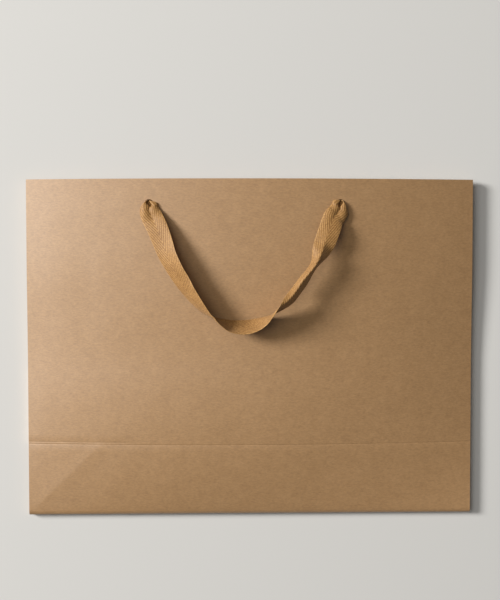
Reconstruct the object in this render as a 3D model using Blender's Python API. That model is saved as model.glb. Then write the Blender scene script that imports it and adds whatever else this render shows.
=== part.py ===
"""Plain kraft paper carrier bag with tape handles, folded flat and lying on its back."""
import math

import bmesh
import bpy
from mathutils import Vector

MM = 0.001

# Bag, folded flat: +X right, +Y from the bottom fold to the mouth, +Z up off the floor
WIDTH = 400 * MM
HEIGHT = 302 * MM
GUSSET_DEPTH = 130 * MM
HEM_DEPTH = 40 * MM
PAPER = 0.3 * MM
PLY_GAP = 0.15 * MM
PUFF = 20 * MM
BOTTOM_ROUND = 4 * MM

# Card stiffeners
TOP_BOARD = 0.6 * MM
TOP_BOARD_MARGIN = 4 * MM
BASE_BOARD = 1.0 * MM
BASE_BOARD_MARGIN = 5 * MM

# Woven tape handles
TAPE_WIDTH = 19 * MM
TAPE = 0.9 * MM
ROLL_ANGLE = math.radians(330)
REAR_ROLL_FLATTENING = 0.62
KNOT_THICKNESS = 5.2 * MM
KNOT_LENGTH = 17 * MM
KNOT_WIDTH = 14 * MM
KNOT_RIDGE = 0.09
KNOT_RIDGES = 3
KNOT_TWIST = 5
TAIL_LENGTH = 12 * MM
TAIL_NARROWING = 0.6
TAIL_PLIES = 2

# Punched holes
HOLE_SPACING = 168.8 * MM
HOLE_OFFSET = -5.4 * MM
HOLE_DROP = 22.2 * MM

CLEARANCE = 0.35 * MM

# Colour and roughness of each material
PAPER_FINISH = ((0.38, 0.24, 0.12), 0.85)
CARD_FINISH = ((0.42, 0.30, 0.19), 0.9)
TAPE_FINISH = ((0.60, 0.40, 0.20), 0.9)
GUIDE_FINISH = ((0.5, 0.5, 0.5), 0.5)

HALF_WIDTH = WIDTH / 2
PLEAT = GUSSET_DEPTH / 2
BASE_FOLD = GUSSET_DEPTH / 2
BOARD_GAP = TOP_BOARD + 2 * CLEARANCE
ROLL_RADIUS = TAPE_WIDTH / ROLL_ANGLE
HOLE_RADIUS = ROLL_RADIUS + TAPE / 2 + CLEARANCE
HOLES = (HOLE_OFFSET - HOLE_SPACING / 2, HOLE_OFFSET + HOLE_SPACING / 2)
HOLE_Y = HEIGHT - HOLE_DROP

# Layers of paper and the gaps between them, counted up from the floor
LAYERS = (
    ("base", 2 * PAPER),
    ("gap", PLY_GAP),
    ("tuck_lower", PAPER),
    ("gap", PLY_GAP),
    ("tuck_upper", PAPER),
    ("gap", PLY_GAP),
    ("back_lower", PAPER),
    ("gap", PLY_GAP),
    ("back", PAPER),
    ("board_gap", BOARD_GAP),
    ("back_hem", PAPER),
    ("gap", PLY_GAP),
    ("gusset_back_hem", PAPER),
    ("gap", PLY_GAP),
    ("gusset_back", PAPER),
    ("gap", PLY_GAP),
    ("gusset_front", PAPER),
    ("gap", PLY_GAP),
    ("gusset_front_hem", PAPER),
    ("gap", PLY_GAP),
    ("front_hem", PAPER),
    ("board_gap", BOARD_GAP),
    ("front", PAPER),
)
INDEX = {name: index for index, (name, _) in enumerate(LAYERS)}
LEVELS = [sum(thickness for _, thickness in LAYERS[:index]) for index in range(len(LAYERS) + 1)]
ROLL_DEPTH = (2 * ROLL_RADIUS * REAR_ROLL_FLATTENING) + TAPE
MOUTH_LIFT = ROLL_DEPTH + CLEARANCE - LEVELS[INDEX["back"]]

# Straight lines that divide the front panel, so that it can bulge
PANEL_COLUMNS = 12
PANEL_ROWS = 8
BOTTOM_ROW_SHARES = (0.15, 0.45, 1)
BASE_ROW_SHARES = (0.3, 0.65, 1.5)
HOLE_SIDES = 20


def clear_scene():
    for item in list(bpy.data.objects):
        bpy.data.objects.remove(item, do_unlink=True)


def material(name, colour, roughness):
    made = bpy.data.materials.new(name)
    made.use_nodes = True
    shader = made.node_tree.nodes["Principled BSDF"]
    shader.inputs["Base Color"].default_value = (*colour, 1)
    shader.inputs["Roughness"].default_value = roughness
    shader.inputs["Metallic"].default_value = 0
    return made


def make_object(name, mesh_source, finish):
    """Turn a bmesh into a named object whose own origin is the middle of the bag."""
    bmesh.ops.recalc_face_normals(mesh_source, faces=mesh_source.faces)
    mesh = bpy.data.meshes.new(name)
    mesh_source.to_mesh(mesh)
    mesh_source.free()
    mesh.materials.append(material(name + "_finish", *finish))
    made = bpy.data.objects.new(name, mesh)
    made.location.y = -HEIGHT / 2
    bpy.context.collection.objects.link(made)
    return made


def ease(share):
    share = min(max(share, 0), 1)
    return share * share * (3 - 2 * share)


def bottom_pinch(y):
    """Share of the full thickness that is left near the rounded bottom fold."""
    if y >= BOTTOM_ROUND:
        return 1
    flat_share = 0.3
    return flat_share + (1 - flat_share) * math.sqrt(1 - (1 - y / BOTTOM_ROUND) ** 2)


def mouth_lift(y):
    """How far the bag is held off the floor by the rolled rear handle."""
    return MOUTH_LIFT * ease((y - GUSSET_DEPTH) / (HOLE_Y - GUSSET_DEPTH - HEM_DEPTH))


def puff(x, y):
    """How far the front panel bulges away from the folded layers under it."""
    across = 1 - (x / HALF_WIDTH) ** 2
    along = 1 - (1 - min(y / GUSSET_DEPTH, 1)) ** 2
    return PUFF * max(across, 0) * along


def height_of(level, x, y):
    middle = LEVELS[-1] / 2
    z = middle + (LEVELS[level] - middle) * bottom_pinch(y) + mouth_lift(y)
    if level >= INDEX["front_hem"]:
        z += puff(x, y)
    return z


def top_of(layer, x, y):
    return height_of(INDEX[layer] + 1, x, y)


def underside_of(layer, x, y):
    return height_of(INDEX[layer], x, y)


def span(first, last):
    return set(range(INDEX[first], INDEX[last] + 1))


def body_layers(x, y):
    """Layers that hold paper at one point of the flat-folded bag."""
    side = HALF_WIDTH - abs(x)
    hem_side = PAPER + PLY_GAP
    inner_fold = BASE_FOLD + PLY_GAP
    slant = PAPER * math.sqrt(2)
    found = span("front", "front")
    if y < PAPER:
        found |= span("base", "front")
    if y < GUSSET_DEPTH:
        found |= span("base", "base")
        if y > inner_fold:
            found |= span("back_lower", "back_lower")
        if y > GUSSET_DEPTH - PAPER:
            found |= span("base", "back_lower")
    if y > inner_fold:
        found |= span("back", "back")
        if y < inner_fold + PAPER:
            found |= span("back_lower", "back")
    if side < PLEAT:
        found |= gusset_layers(side, y, slant)
    if y > HEIGHT - HEM_DEPTH:
        found |= hem_layers(side, y, hem_side)
    return found


def gusset_layers(side, y, slant):
    found = set()
    far_edge = GUSSET_DEPTH - side
    wrap = BASE_FOLD - PAPER
    if y > side:
        found |= span("gusset_front", "gusset_front")
        if y < far_edge:
            found |= span("tuck_lower", "tuck_lower")
        if y < side + slant and y < BASE_FOLD:
            found |= span("tuck_lower", "gusset_front")
    if wrap < y < far_edge:
        found |= span("tuck_upper", "tuck_upper")
        if y > far_edge - slant and y > BASE_FOLD:
            found |= span("tuck_lower", "tuck_upper")
    if y > wrap:
        found |= span("gusset_back", "gusset_back")
        if y < BASE_FOLD:
            found |= span("tuck_upper", "gusset_back")
        if side > PLEAT - PAPER:
            found |= span("gusset_back", "gusset_front")
    if side < PAPER:
        found |= side_fold_layers(y, wrap)
    return found


def side_fold_layers(y, wrap):
    found = span("gusset_front", "front")
    if y < GUSSET_DEPTH:
        found |= span("base", "tuck_lower")
        if y > wrap:
            found |= span("tuck_upper", "back_lower")
    if y > wrap:
        found |= span("back", "gusset_back")
        if y < BASE_FOLD + PLY_GAP + PAPER:
            found |= span("tuck_upper", "gusset_back")
    return found


def hem_layers(side, y, hem_side):
    found = set()
    hem_pleat = PLEAT + PLY_GAP
    turned = y > HEIGHT - PAPER
    if side > hem_side:
        found |= span("back_hem", "back_hem") | span("front_hem", "front_hem")
        if side < hem_pleat + PAPER:
            found |= span("gusset_back_hem", "gusset_back_hem")
            found |= span("gusset_front_hem", "gusset_front_hem")
        if side < hem_side + PAPER:
            found |= span("back_hem", "gusset_back_hem") | span("gusset_front_hem", "front_hem")
        if hem_pleat < side < hem_pleat + PAPER:
            found |= span("gusset_back_hem", "gusset_front_hem")
    if turned:
        found |= span("back", "back_hem") | span("front_hem", "front")
        if side < PLEAT:
            found |= span("gusset_back_hem", "gusset_back") | span("gusset_front", "gusset_front_hem")
        if side < hem_side + PAPER:
            found |= span("back", "gusset_back") | span("gusset_front", "front")
        if PLEAT - PAPER < side < hem_pleat + PAPER:
            found |= span("gusset_back_hem", "gusset_front_hem")
    return found


def cut_plan(plan, point, across, keep):
    """Cut the faces of the plan whose middles pass the test, along one straight line."""
    faces = [face for face in plan.faces if keep(face.calc_center_median())]
    edges = {edge for face in faces for edge in face.edges}
    corners = {corner for face in faces for corner in face.verts}
    bmesh.ops.bisect_plane(
        plan,
        geom=list(corners) + list(edges) + faces,
        dist=0.001 * MM,
        plane_co=point,
        plane_no=across,
    )


def body_plan():
    """The bag seen from above, divided at every fold and edge of the paper."""
    plan = bmesh.new()
    corners = ((-1, 0), (1, 0), (1, 1), (-1, 1))
    plan.faces.new([plan.verts.new((x * HALF_WIDTH, y * HEIGHT, 0)) for x, y in corners])
    hem_line = HEIGHT - HEM_DEPTH
    rows = [BOTTOM_ROUND * share for share in BOTTOM_ROW_SHARES]
    rows += [PAPER, BASE_FOLD - PAPER, BASE_FOLD, BASE_FOLD + PLY_GAP, BASE_FOLD + PLY_GAP + PAPER]
    rows += [GUSSET_DEPTH - PAPER, GUSSET_DEPTH, hem_line, HEIGHT - PAPER]
    rows += [BASE_FOLD * share for share in BASE_ROW_SHARES]
    upper_rows = PANEL_ROWS // 2
    rows += [GUSSET_DEPTH + (hem_line - GUSSET_DEPTH) * row / upper_rows for row in range(1, upper_rows)]
    for y in rows:
        cut_plan(plan, (0, y, 0), (0, 1, 0), lambda middle: True)
    for column in range(1, PANEL_COLUMNS):
        x = -HALF_WIDTH + WIDTH * column / PANEL_COLUMNS
        cut_plan(plan, (x, 0, 0), (1, 0, 0), lambda middle: True)
    hem_side = PAPER + PLY_GAP
    hem_pleat = PLEAT + PLY_GAP
    for sign in (-1, 1):
        for side in (PAPER, PLEAT - PAPER, PLEAT):
            cut_plan(plan, (sign * (HALF_WIDTH - side), 0, 0), (1, 0, 0), lambda middle: True)
        for side in (hem_side, hem_side + PAPER, hem_pleat, hem_pleat + PAPER):
            cut_plan(plan, (sign * (HALF_WIDTH - side), 0, 0), (1, 0, 0), lambda middle: middle.y > hem_line)
        cut_diagonals(plan, sign)
    return plan


def cut_diagonals(plan, sign):
    """The slanted folds of the block bottom, each with a second line one paper thickness inside."""
    slant = PAPER * math.sqrt(2)
    corner_x = sign * HALF_WIDTH
    edge_of_pleat = HALF_WIDTH - PLEAT

    def in_lower(middle):
        return middle.x * sign > edge_of_pleat and middle.y < BASE_FOLD

    def in_upper(middle):
        return middle.x * sign > edge_of_pleat and BASE_FOLD < middle.y < GUSSET_DEPTH

    for offset in (0, slant):
        cut_plan(plan, (corner_x, offset, 0), (sign, 1, 0), in_lower)
        cut_plan(plan, (corner_x, GUSSET_DEPTH - offset, 0), (-sign, 1, 0), in_upper)


def stack_body(plan):
    """Raise the plan into plies: solid where a layer holds paper, with walls where it ends."""
    body = bmesh.new()
    layers = {face: body_layers(*face.calc_center_median().xy) for face in plan.faces}
    made = {}

    def vertex(corner, level):
        key = (corner.index, level)
        if key not in made:
            x, y = corner.co.xy
            made[key] = body.verts.new((x, y, height_of(level, x, y)))
        return made[key]

    for face, solid in layers.items():
        for level in range(len(LAYERS) + 1):
            above = level in solid
            below = level - 1 in solid
            if above != below:
                ring = [vertex(corner, level) for corner in face.verts]
                body.faces.new(ring[::-1] if above else ring)
    for edge in plan.edges:
        first, second = edge.verts
        sides = [layers[face] for face in edge.link_faces]
        if len(sides) == 1:
            sides.append(set())
        for layer in sides[0] ^ sides[1]:
            lower = [vertex(first, layer), vertex(second, layer)]
            upper = [vertex(second, layer + 1), vertex(first, layer + 1)]
            body.faces.new(lower + upper)
    return body


def hole_cutter(name, x, low, high):
    """A guide cylinder that punches one hole."""
    cutter = bmesh.new()
    bmesh.ops.create_cone(
        cutter,
        cap_ends=True,
        segments=HOLE_SIDES,
        radius1=HOLE_RADIUS,
        radius2=HOLE_RADIUS,
        depth=high - low,
    )
    bmesh.ops.translate(cutter, verts=cutter.verts, vec=(x, HOLE_Y, (low + high) / 2))
    made = make_object(name, cutter, GUIDE_FINISH)
    made.hide_render = True
    made.hide_viewport = True
    made.display_type = "WIRE"
    return made


def punch(made, cutters):
    for cutter in cutters:
        modifier = made.modifiers.new("punched_" + cutter.name, "BOOLEAN")
        modifier.operation = "DIFFERENCE"
        modifier.solver = "EXACT"
        modifier.object = cutter


def top_board(name, layer_above, layer_below):
    """A card strip in the pocket of a hem, bent to the same curve as the panel."""
    board = bmesh.new()
    rows = (HEIGHT - HEM_DEPTH + TOP_BOARD_MARGIN, HEIGHT - PAPER - TOP_BOARD_MARGIN)
    columns = [-HALF_WIDTH + WIDTH * column / PANEL_COLUMNS for column in range(PANEL_COLUMNS + 1)]
    columns[0] += TOP_BOARD_MARGIN
    columns[-1] -= TOP_BOARD_MARGIN
    rings = []
    for x in columns:
        ring = []
        for y, side in ((rows[0], 0), (rows[1], 0), (rows[1], 1), (rows[0], 1)):
            z = (underside_of(layer_above, x, y) + top_of(layer_below, x, y)) / 2
            ring.append(board.verts.new((x, y, z + (side - 0.5) * TOP_BOARD)))
        rings.append(ring)
    join_rings(board, rings)
    return make_object(name, board, CARD_FINISH)


def base_board():
    """The loose card for the bottom, flat on the gussets inside the folded bag."""
    board = bmesh.new()
    bmesh.ops.create_cube(board, size=1)
    length = WIDTH - 2 * BASE_BOARD_MARGIN
    depth = GUSSET_DEPTH - 2 * BASE_BOARD_MARGIN
    low = LEVELS[INDEX["gusset_front"] + 1] + CLEARANCE
    bmesh.ops.scale(board, verts=board.verts, vec=(length, depth, BASE_BOARD))
    bmesh.ops.translate(board, verts=board.verts, vec=(0, GUSSET_DEPTH / 2, low + BASE_BOARD / 2))
    return make_object("base_board", board, CARD_FINISH)


def join_rings(target, rings):
    """Bridge rings of corners one after another and cap both ends."""
    count = len(rings[0])
    for first, second in zip(rings, rings[1:]):
        for corner in range(count):
            following = (corner + 1) % count
            target.faces.new((first[corner], first[following], second[following], second[corner]))
    target.faces.new(rings[0][::-1])
    target.faces.new(rings[-1])


# Places of the front handle's middle on the panel, from the left hole to the right one, in mm.
# Each has the slope in degrees of its outer half and inner half, the crease's place across the tape
# in mm, its curl in degrees, and its lift off the panel in mm.
FRONT_STATIONS = (
    (-89.6, 275.2, 0, 0, 0, 200, 0),
    (-88.4, 271.2, 0, 0, 0, 75, 1.6),
    (-86.4, 266.8, 5, 5, 0, 32, 3.0),
    (-81.9, 257.5, 12, 12, 0, 12, 5.0),
    (-77.3, 245.5, 23, 23, 0, 0, 6.0),
    (-73.2, 234.5, 33, 33, 0, 0, 6.5),
    (-66.4, 221.5, 45, 37, 0, 0, 6.5),
    (-60.4, 212.0, 48, 40, 0, -6, 6.0),
    (-54.8, 203.3, 56, 48, 0, -10, 5.5),
    (-46.2, 192.0, 66, 60, 0, -20, 4.5),
    (-38.7, 184.0, 76, 76, 0, -28, 3.0),
    (-32.0, 179.2, 92, 92, 0, -34, 1.5),
    (-25.0, 175.6, 108, 108, 0, -28, 0.5),
    (-18.0, 172.6, 120, 120, 0, -14, 0),
    (-10.0, 171.5, 127, 127, 0, 0, 0),
    (-2.0, 171.9, 127, 127, 0, 0, 0),
    (6.0, 174.3, 120, 120, 0, 0, 0),
    (13.0, 178.0, 107, 107, 0, 10, 1.5),
    (18.5, 182.2, 90, 90, 0, 24, 3.5),
    (24.0, 187.0, 77, 77, 8, 10, 6.0),
    (30.0, 193.0, 72, -10, 6, 0, 8.0),
    (35.2, 198.6, 66, -52, 3, 0, 9.5),
    (40.4, 205.3, 62, -66, 1, 0, 10.5),
    (45.2, 212.0, 60, -70, 1, 0, 11.0),
    (54.6, 226.0, 75, -68, 0, 0, 10.5),
    (60.8, 238.0, 42, -28, 0, 0, 9.5),
    (64.6, 246.5, 10, -18, 0, 0, 8.0),
    (68.9, 257.7, 4, -8, 0, 0, 5.5),
    (72.2, 266.8, 2, -4, 0, 24, 3.2),
    (75.8, 271.2, 0, 0, 0, 75, 1.6),
    (78.4, 275.2, 0, 0, 0, 200, 0),
)

# Places of the rear handle's middle under the back panel, pressed flat by the bag, in mm
REAR_STATIONS = (
    (-89.8, 274.8, 0, 0, 0, 230, 0),
    (-89.6, 269.8, 0, 0, 0, 110, 0),
    (-88.5, 262.0, 0, 0, 0, 25, 0),
    (-86.0, 245.0, 0, 0, 0, 0, 0),
    (-82.0, 225.0, 0, 0, 0, 0, 0),
    (-74.0, 206.0, 0, 0, 0, 0, 0),
    (-61.0, 190.0, 0, 0, 0, 0, 0),
    (-44.0, 177.5, 0, 0, 0, 0, 0),
    (-25.0, 170.0, 0, 0, 0, 0, 0),
    (-5.4, 167.5, 0, 0, 0, 0, 0),
    (14.2, 170.0, 0, 0, 0, 0, 0),
    (33.2, 177.5, 0, 0, 0, 0, 0),
    (50.2, 190.0, 0, 0, 0, 0, 0),
    (63.2, 206.0, 0, 0, 0, 0, 0),
    (71.2, 225.0, 0, 0, 0, 0, 0),
    (75.2, 245.0, 0, 0, 0, 0, 0),
    (77.7, 262.0, 0, 0, 0, 25, 0),
    (78.8, 269.8, 0, 0, 0, 110, 0),
    (79.0, 274.8, 0, 0, 0, 230, 0),
)
SECTION_PLACES = (-1, -0.7, -0.4, -0.12, 0, 0.12, 0.4, 0.7, 1)
CREASE_HALF_WIDTH = 1.2 * MM
PATH_STEPS = 2


def smooth_stations(stations, steps):
    """Catmull-Rom points through the chosen stations, all values alike."""
    padded = [stations[0], *stations, stations[-1]]
    points = []
    for index in range(len(stations) - 1):
        before, start, end, after = padded[index:index + 4]
        for step in range(steps):
            share = step / steps
            points.append([blend_four(values, share) for values in zip(before, start, end, after)])
    points.append(list(stations[-1]))
    return points


def blend_four(values, share):
    before, start, end, after = values
    first = end - before
    second = 2 * before - 5 * start + 4 * end - after
    third = 3 * (start - end) + after - before
    return start + 0.5 * share * (first + share * (second + share * third))


def slope_at(place, outer, inner, crease, curl):
    """Slope across the tape at one place, which changes over at the crease."""
    share = min(max((place - crease) / (2 * CREASE_HALF_WIDTH) + 0.5, 0), 1)
    return outer + (inner - outer) * share + curl * place / TAPE_WIDTH


def tape_section(outer, inner, crease, curl, flatten):
    """The closed outline of the tape's cut end: across it and up from its middle."""
    steps = 6
    places = [place * TAPE_WIDTH / 2 for place in SECTION_PLACES]
    middle_line = []
    across = 0
    up = 0
    for index, place in enumerate(places):
        if index:
            previous = places[index - 1]
            length = (place - previous) / steps
            for step in range(steps):
                slope = slope_at(previous + (step + 0.5) * length, outer, inner, crease, curl)
                across += math.cos(slope) * length
                up += math.sin(slope) * length
        middle_line.append((across, up, slope_at(place, outer, inner, crease, curl)))
    centre = middle_line[len(places) // 2]
    outline = []
    for side, line in ((0.5, middle_line), (-0.5, middle_line[::-1])):
        for across, up, slope in line:
            across_edge = across - centre[0] - side * TAPE * math.sin(slope)
            up_edge = (up - centre[1]) * flatten + side * TAPE * math.cos(slope)
            outline.append((across_edge, up_edge))
    return outline


def centred(outline):
    low = min(across for across, _ in outline)
    high = max(across for across, _ in outline)
    return [(across - (low + high) / 2, up) for across, up in outline]


def outside_rings(stations, seat, up_sign, flatten):
    """Sections of the tape outside the bag, each laid on what is under it."""
    points = smooth_stations(stations, PATH_STEPS)
    rings = []
    for index, (x, y, outer, inner, crease, curl, lift) in enumerate(points):
        before = points[max(index - 1, 0)]
        after = points[min(index + 1, len(points) - 1)]
        along = Vector((after[0] - before[0], after[1] - before[1], 0)).normalized()
        inward = Vector((-along.y, along.x, 0))
        angles = [math.radians(value) for value in (outer, inner, curl)]
        outline = centred(tape_section(angles[0], angles[1], crease * MM, angles[2], flatten))
        flat = []
        for across, up in outline:
            place = Vector((x * MM, y * MM, 0)) + inward * across
            flat.append((place.x, place.y, up * up_sign))
        seat_z = seat(flat, lift * MM)
        rings.append([(px, py, pz + seat_z) for px, py, pz in flat])
    return rings


def seat_on_panel(flat, lift):
    """Height that lays a section on the front panel."""
    needed = max(top_of("front", x, y) - z for x, y, z in flat)
    return needed + CLEARANCE + lift


def seat_under_panel(flat, lift):
    """Height that lays a section on the floor, or under the back panel beside its hole."""
    return lift - min(z for _, _, z in flat)


def passage_rings(x, corner_z, depth, up_sign, flatten):
    """Sections of the rolled tape from inside the bag round the lower edge of its hole."""
    corner_y = HOLE_Y - HOLE_RADIUS
    bend = TAPE / 2 + CLEARANCE
    stops = [(bend, -depth, 0), (bend, -depth / 2, 0)]
    stops += [(bend * math.cos(turn), bend * math.sin(turn), turn) for turn in (0, math.pi / 6, math.pi / 3)]
    outline = tape_section(0, 0, 0, ROLL_ANGLE, 1)
    rings = []
    for offset_y, offset_z, turn in stops:
        tilt = math.pi / 2 - turn
        narrowing = 1 + (flatten - 1) * math.sin(turn)
        ring = []
        for across, up in outline:
            y = corner_y + offset_y + up * narrowing * math.sin(tilt)
            z = corner_z + up_sign * (offset_z + up * narrowing * math.cos(tilt))
            ring.append((x + across, y, z))
        rings.append(ring)
    return rings


def knot(x, z):
    """A squashed overhand knot, with the tape's turns as slanted ridges, and a short flat tail."""
    lump = bmesh.new()
    bmesh.ops.create_uvsphere(lump, u_segments=24, v_segments=10, radius=0.5)
    for corner in lump.verts:
        turn = math.atan2(corner.co.y, corner.co.x)
        ridge = 1 + KNOT_RIDGE * math.cos(KNOT_RIDGES * turn + KNOT_TWIST * corner.co.z)
        corner.co.x *= ridge * KNOT_LENGTH
        corner.co.y *= ridge * KNOT_WIDTH
        corner.co.z *= KNOT_THICKNESS
        corner.co += Vector((x, HOLE_Y, z))
    return lump


def tail(x, z):
    strip = bmesh.new()
    bmesh.ops.create_cube(strip, size=1)
    length = TAIL_LENGTH + KNOT_WIDTH / 2
    bmesh.ops.scale(strip, verts=strip.verts, vec=(TAPE_WIDTH * TAIL_NARROWING, length, TAPE * TAIL_PLIES))
    bmesh.ops.translate(strip, verts=strip.verts, vec=(x, HOLE_Y - length / 2, z))
    return strip


def add_part(made, name, source):
    """Join a lump of the same tape to the handle with a union."""
    part = make_object(name, source, TAPE_FINISH)
    part.hide_render = True
    part.hide_viewport = True
    part.display_type = "WIRE"
    modifier = made.modifiers.new("joined_" + name, "BOOLEAN")
    modifier.operation = "UNION"
    modifier.solver = "EXACT"
    modifier.object = part


def handle(name, stations, panel, hem, seat, up_sign, flatten):
    """One length of tape: knot, rolled passage, loop outside, rolled passage, knot."""
    knot_places = []
    ends = []
    for x in HOLES:
        if up_sign > 0:
            corner_z = top_of(panel, x, HOLE_Y)
            hem_z = underside_of(hem, x, HOLE_Y)
        else:
            corner_z = underside_of(panel, x, HOLE_Y)
            hem_z = top_of(hem, x, HOLE_Y)
        knot_z = hem_z - up_sign * (CLEARANCE + KNOT_THICKNESS / 2)
        knot_places.append((x, knot_z))
        ends.append(passage_rings(x, corner_z, abs(corner_z - knot_z), up_sign, flatten))
    middle = outside_rings(stations, seat, up_sign, flatten)
    count = len(SECTION_PLACES)
    last = [ring[:count][::-1] + ring[count:][::-1] for ring in ends[1][::-1]]
    tape = bmesh.new()
    rings = [[tape.verts.new(place) for place in ring] for ring in ends[0] + middle + last]
    join_rings(tape, rings)
    made = make_object(name, tape, TAPE_FINISH)
    for side, (x, z) in zip(("left", "right"), knot_places):
        add_part(made, name + "_knot_" + side, knot(x, z))
        add_part(made, name + "_tail_" + side, tail(x, z))
    return made


def bag_body():
    plan = body_plan()
    plan.verts.index_update()
    body = stack_body(plan)
    plan.free()
    return make_object("bag_body", body, PAPER_FINISH)


def build():
    clear_scene()
    body = bag_body()
    front_board = top_board("front_top_board", "front", "front_hem")
    rear_board = top_board("rear_top_board", "back_hem", "back")
    base_board()
    reach = 2 * MM
    for side, x in zip(("left", "right"), HOLES):
        front_low = underside_of("front_hem", x, HOLE_Y) - reach
        front_high = top_of("front", x, HOLE_Y) + reach
        front_cutter = hole_cutter("front_hole_" + side, x, front_low, front_high)
        back_low = underside_of("back", x, HOLE_Y) - reach
        back_high = top_of("back_hem", x, HOLE_Y) + reach
        back_cutter = hole_cutter("back_hole_" + side, x, back_low, back_high)
        punch(body, (front_cutter, back_cutter))
        punch(front_board, (front_cutter,))
        punch(rear_board, (back_cutter,))
    handle("front_handle", FRONT_STATIONS, "front", "front_hem", seat_on_panel, 1, 1)
    handle("rear_handle", REAR_STATIONS, "back", "back_hem", seat_under_panel, -1, REAR_ROLL_FLATTENING)


build()
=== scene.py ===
"""Looks of the kraft paper carrier bag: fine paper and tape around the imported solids."""
import math

import bmesh
import bpy
from mathutils import Euler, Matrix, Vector, noise
from mathutils.geometry import interpolate_bezier

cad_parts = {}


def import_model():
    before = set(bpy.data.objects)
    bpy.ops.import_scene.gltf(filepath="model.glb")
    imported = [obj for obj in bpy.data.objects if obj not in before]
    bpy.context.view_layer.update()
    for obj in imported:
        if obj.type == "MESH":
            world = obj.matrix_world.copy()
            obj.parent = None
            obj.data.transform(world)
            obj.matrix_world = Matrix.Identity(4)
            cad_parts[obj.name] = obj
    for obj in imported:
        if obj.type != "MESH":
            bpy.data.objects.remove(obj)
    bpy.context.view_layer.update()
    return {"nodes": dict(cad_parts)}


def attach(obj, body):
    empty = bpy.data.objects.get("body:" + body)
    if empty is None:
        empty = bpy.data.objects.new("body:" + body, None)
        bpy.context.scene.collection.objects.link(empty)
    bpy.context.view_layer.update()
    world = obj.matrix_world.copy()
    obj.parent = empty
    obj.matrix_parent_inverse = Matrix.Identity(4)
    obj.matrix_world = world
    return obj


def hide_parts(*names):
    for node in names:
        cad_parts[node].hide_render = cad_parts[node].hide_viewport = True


MM = 0.001

# Sizes of the solid model, in metres, from the bottom fold (y = 0) to the mouth
WIDTH = 400 * MM
HEIGHT = 302 * MM
GUSSET_DEPTH = 130 * MM
HEM_DEPTH = 40 * MM
PAPER = 0.3 * MM
PLY_GAP = 0.15 * MM
PUFF = 20 * MM
BOTTOM_ROUND = 4 * MM
TOP_BOARD = 0.6 * MM
TAPE_WIDTH = 19 * MM
TAPE = 0.9 * MM
ROLL_ANGLE = math.radians(330)
REAR_ROLL_FLATTENING = 0.62
KNOT_THICKNESS = 5.2 * MM
KNOT_LENGTH = 17 * MM
KNOT_WIDTH = 14 * MM
KNOT_RIDGE = 0.09
KNOT_RIDGES = 3
KNOT_TWIST = 5
TAIL_LENGTH = 12 * MM
TAIL_NARROWING = 0.6
TAIL_PLIES = 2
HOLE_SPACING = 168.8 * MM
HOLE_OFFSET = -5.4 * MM
HOLE_DROP = 22.2 * MM
CLEARANCE = 0.35 * MM
FOLD_FLATNESS = 0.3

HALF_WIDTH = WIDTH / 2
PLEAT = GUSSET_DEPTH / 2
BASE_FOLD = GUSSET_DEPTH / 2
BOARD_GAP = TOP_BOARD + 2 * CLEARANCE
ROLL_RADIUS = TAPE_WIDTH / ROLL_ANGLE
HOLE_RADIUS = ROLL_RADIUS + TAPE / 2 + CLEARANCE
HOLES = (HOLE_OFFSET - HOLE_SPACING / 2, HOLE_OFFSET + HOLE_SPACING / 2)
HOLE_Y = HEIGHT - HOLE_DROP

# Layers of paper and the gaps between them, counted up from the floor
LAYERS = (
    ("base", 2 * PAPER),
    ("gap", PLY_GAP),
    ("tuck_lower", PAPER),
    ("gap", PLY_GAP),
    ("tuck_upper", PAPER),
    ("gap", PLY_GAP),
    ("back_lower", PAPER),
    ("gap", PLY_GAP),
    ("back", PAPER),
    ("board_gap", BOARD_GAP),
    ("back_hem", PAPER),
    ("gap", PLY_GAP),
    ("gusset_back_hem", PAPER),
    ("gap", PLY_GAP),
    ("gusset_back", PAPER),
    ("gap", PLY_GAP),
    ("gusset_front", PAPER),
    ("gap", PLY_GAP),
    ("gusset_front_hem", PAPER),
    ("gap", PLY_GAP),
    ("front_hem", PAPER),
    ("board_gap", BOARD_GAP),
    ("front", PAPER),
)
INDEX = {name: index for index, (name, _) in enumerate(LAYERS)}
LEVELS = [sum(thickness for _, thickness in LAYERS[:index]) for index in range(len(LAYERS) + 1)]
ROLL_DEPTH = (2 * ROLL_RADIUS * REAR_ROLL_FLATTENING) + TAPE
MOUTH_LIFT = ROLL_DEPTH + CLEARANCE - LEVELS[INDEX["back"]]

# Fine grid of the paper, and how its holes are cut
COLUMN_STEP = 6 * MM
ROW_STEP = 6 * MM
BOTTOM_ROW_SHARES = (0.03, 0.15, 0.3, 0.5, 0.72, 1)
CREASE_ROW_STEP = 0.4 * MM
SAME_PLACE = 0.001 * MM
HOLE_SIDES = 40
PUNCH_REACH = 2 * MM

# Relief of the paper. A pattern has its waves to the metre across and along, and its slice of noise.
WAVE_DEPTH = 0.35 * MM
WAVE_INSET = 30 * MM
BROAD_WAVES = (14, 11, 3.7)
SMALL_WAVES = (37, 31, 9.1)
SMALL_WAVE_SHARE = 0.5
CREASE_DEPTH = 0.16 * MM
CREASE_HALF = 0.8 * MM
SECOND_CREASE = 1.8 * MM
SECOND_CREASE_END = -95 * MM
SECOND_CREASE_FADE = 30 * MM
DIAGONAL_RIDGE = 0.34 * MM
DIAGONAL_HALF = 9 * MM
DIAGONAL_WANDER = 4 * MM
WANDER_WAVES = (40, 40, 5.2)
DIAGONAL_START_FADE = 30 * MM
DIAGONAL_END = 2.3 * PLEAT
DIAGONAL_END_FADE = 25 * MM

# Camera, solved once from the four corners of the panel in the 500 x 600 photograph
CAMERA_PLACE = (-0.0300, 0.0896, 1.0874)
CAMERA_TILT = (-2.465, -1.569, -0.044)
CAMERA_LENS = 72
CAMERA_SENSOR = 36

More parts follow.
